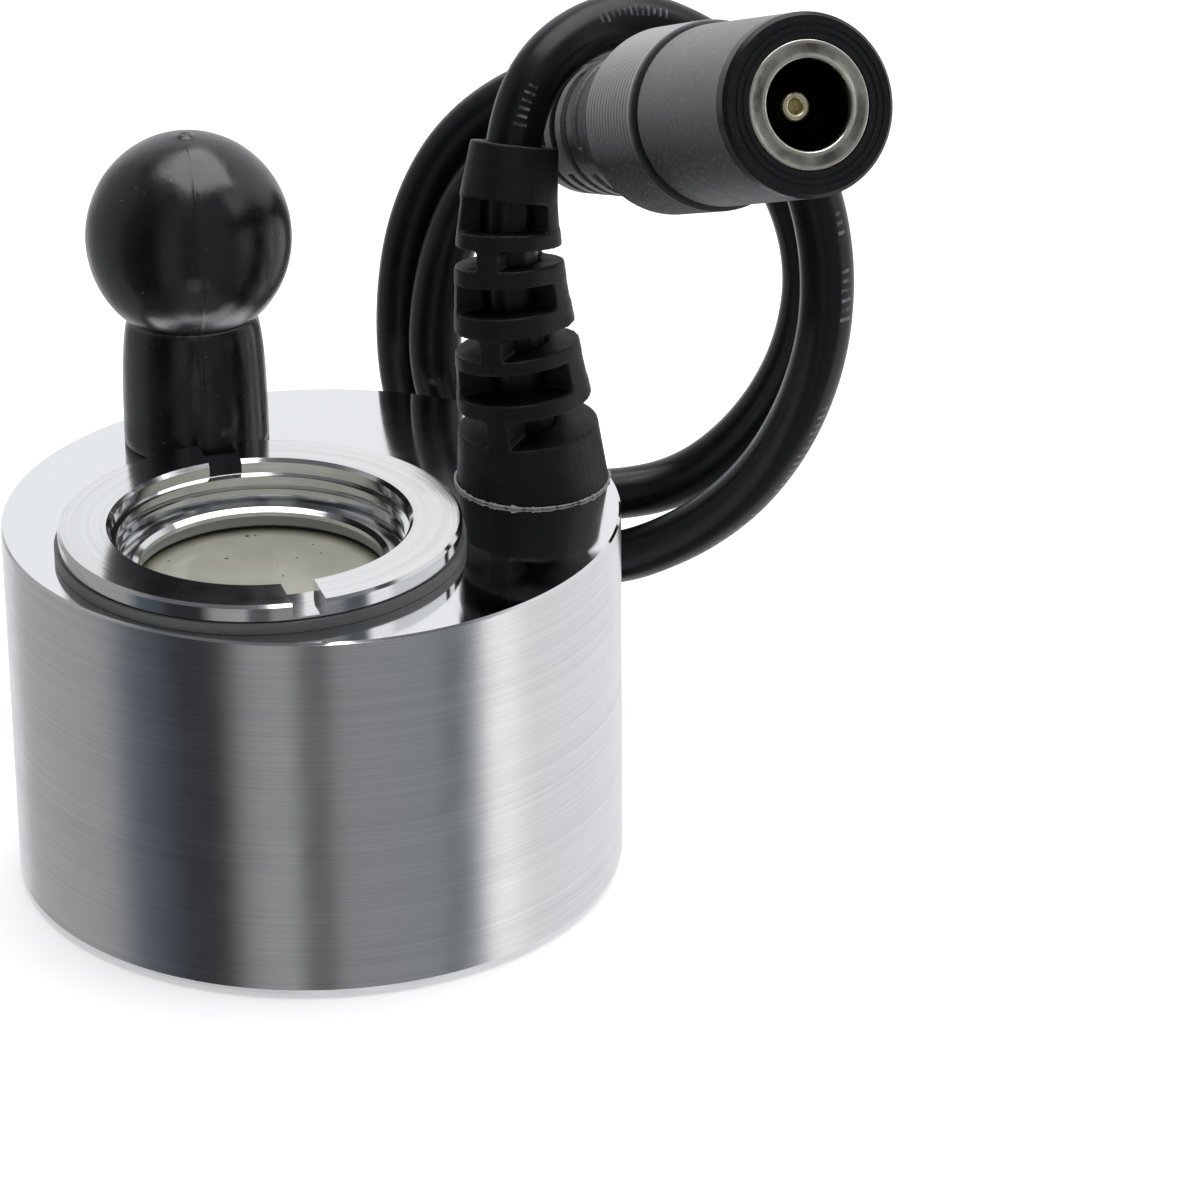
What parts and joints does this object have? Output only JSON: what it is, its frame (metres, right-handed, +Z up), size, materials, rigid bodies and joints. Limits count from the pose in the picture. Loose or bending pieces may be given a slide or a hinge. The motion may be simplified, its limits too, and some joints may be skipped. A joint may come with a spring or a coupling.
{
  "type": "ultrasonic mist maker",
  "caption": "Chromed puck with a key-turned lock ring over a piezo disc, a ball-topped water sensor, a ribbed cable boot and a short looped lead to an inline power jack.",
  "frame": {"origin": "on the puck's axis, in the plane of its flat base", "axes": "+Z up along the puck's axis, -Y towards the lock ring, +X towards the cable boot"},
  "size_m": [0.0591, 0.0543, 0.0659],
  "materials": {
    "puck_chrome": "turned and chromed, brushed round the side and mirror-bright on the deck",
    "ring_chrome": "turned and chromed, with fine turning marks",
    "steel": "zinc-plated screws and hardware",
    "gasket_rubber": "dark grey, matt",
    "glazed_ceramic": "greenish off-white glaze, soft gloss",
    "pale_silicone": "pale grey silicone, matt",
    "silver_plate": "fired silver electrode",
    "sensor_rubber": "black moulded rubber, half gloss",
    "boot_rubber": "black, finely grained, matt",
    "cable_sheath": "black PVC sheath, half gloss",
    "wire_red": "insulated core",
    "wire_enamel": "enamelled copper",
    "black_plastic": "moulded, satin",
    "grey_plastic": "moulded, matt",
    "satin_black": "satin grey-black moulding",
    "nickel": "nickel plate",
    "pin_brass": "plated brass",
    "board_green": "glass-fibre board with green solder mask",
    "ferrite": "dark grey ferrite",
    "epoxy_black": "moulded epoxy",
    "film_red": "dipped film capacitor",
    "can_sleeve": "dark blue shrink sleeve",
    "resistor_tan": "lacquered ceramic",
    "trimmer_blue": "moulded"
  },
  "bodies": {
    "housing": {"housing_shell": "puck_chrome", "bottom_cover": "grey_plastic", "bottom_seal": "gasket_rubber", "cover_screws": "steel", "disc_seal": "pale_silicone", "ceramic_disc": "glazed_ceramic", "centre_electrode": "silver_plate", "rim_electrode": "silver_plate", "contact_carrier": "black_plastic", "contact_spring": "pin_brass", "rim_contact": "pin_brass", "circuit_board": "board_green", "board_standoffs": "steel", "board_screws": "steel", "power_transistor": "epoxy_black", "heat_tab": "steel", "coil_core": "ferrite", "coil_winding": "wire_enamel", "film_capacitors": "film_red", "electrolytic_capacitor": "can_sleeve", "resistors": "resistor_tan", "trimmer": "trimmer_blue", "reverse_diode": "epoxy_black", "disc_leads": "silver_plate", "sensor_cap": "sensor_rubber", "sensor_stem": "black_plastic", "sensor_nut": "steel", "sensor_washer": "gasket_rubber", "sensor_probe": "steel", "sensor_lead": "wire_red", "strain_relief": "boot_rubber", "cable_lead_in": "cable_sheath", "cable_clamp": "steel", "cord_wires": "wire_red", "cord": "cable_sheath", "jack_front": "black_plastic", "jack_barrel": "satin_black", "jack_collar": "black_plastic", "jack_tail": "boot_rubber", "jack_sleeve": "nickel", "jack_insulator": "black_plastic", "jack_pin": "pin_brass"},
    "gasket": {"flange_gasket": "gasket_rubber"},
    "ring": {"lock_ring": "ring_chrome"}
  },
  "joints": [
    {"name": "ring_lift", "type": "slide", "parent": "housing", "child": "gasket", "axis": [0, 0, 1], "range_m": [0, 0.0023]},
    {"name": "ring_turn", "type": "hinge", "parent": "gasket", "child": "ring", "pos_m": [-0.0031, -0.0059, 0.0275], "axis": [0, 0, 1], "range_deg": [0, 1080]}
  ],
  "couplings": [
    {"joint": "ring_lift", "follows": "ring_turn", "m_per_rad": 0.00011937}
  ]
}
